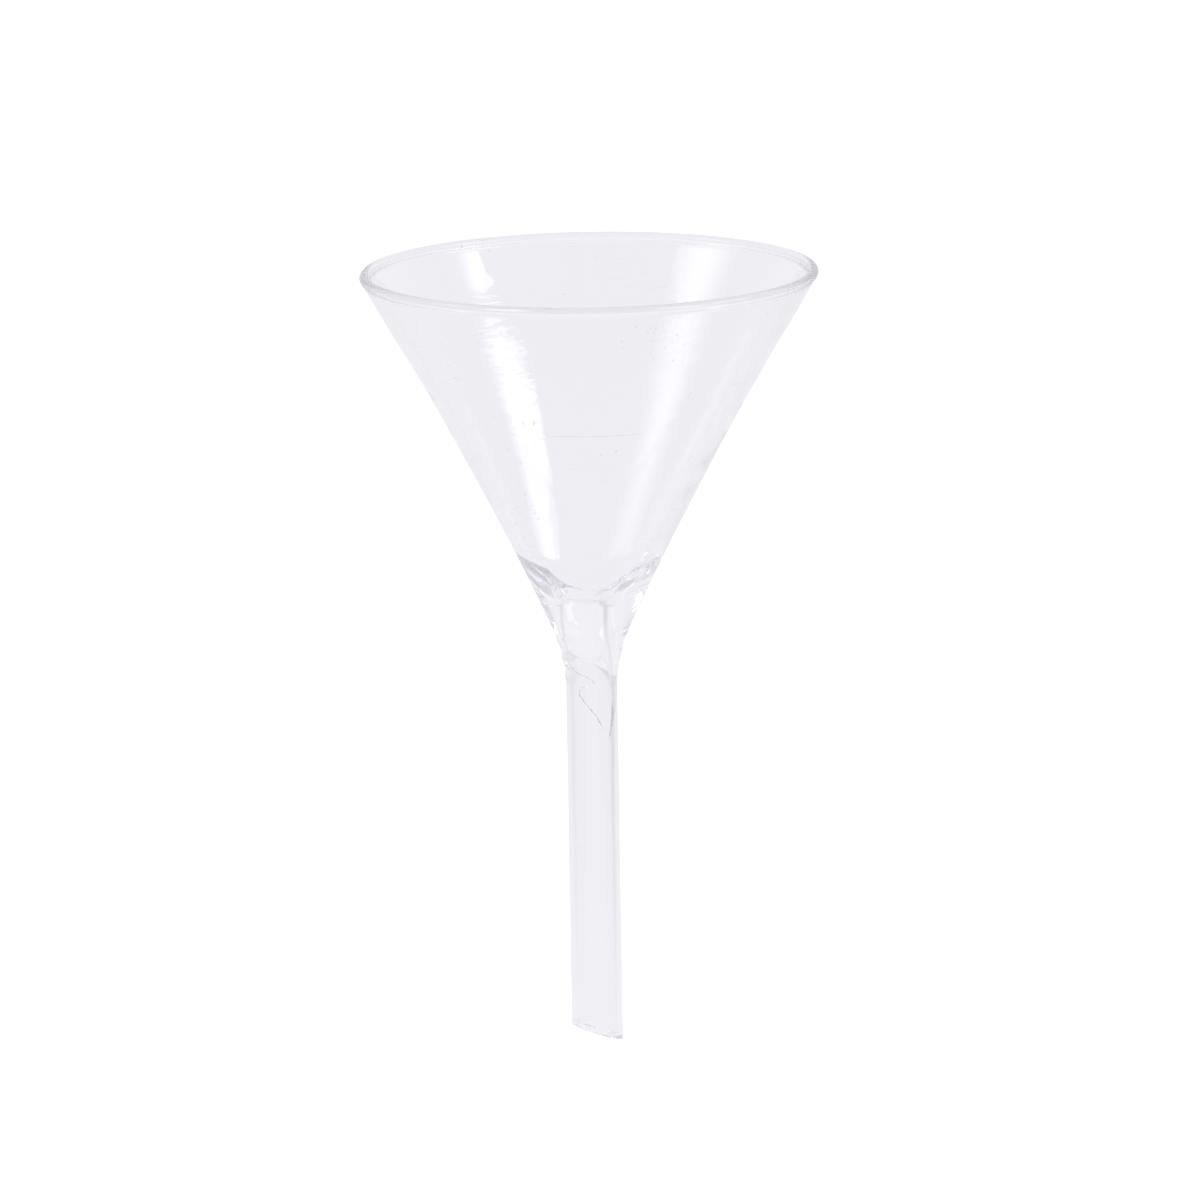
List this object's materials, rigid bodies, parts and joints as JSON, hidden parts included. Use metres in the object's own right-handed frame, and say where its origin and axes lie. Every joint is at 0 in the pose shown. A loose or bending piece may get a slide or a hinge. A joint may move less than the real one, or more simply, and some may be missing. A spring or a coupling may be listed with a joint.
{
  "type": "laboratory funnel",
  "caption": "Clear glass filter funnel: a thin cone with a rounded fire-polished rim, a thick fused throat and a straight stem cut off at a slant.",
  "frame": {"origin": "on the funnel's axis at the top of the straight stem, where its outside starts to widen into the throat", "axes": "+Z along the axis from the stem towards the mouth, +X towards the longest side of the slanted tip"},
  "size_m": [0.075, 0.075, 0.13],
  "materials": {
    "clear_glass": "clear and glossy, lightly marked by use"
  },
  "bodies": {
    "root": {"rim_bead": "clear_glass", "bowl_cone": "clear_glass", "throat_seal": "clear_glass", "stem_tube": "clear_glass"}
  },
  "joints": []
}
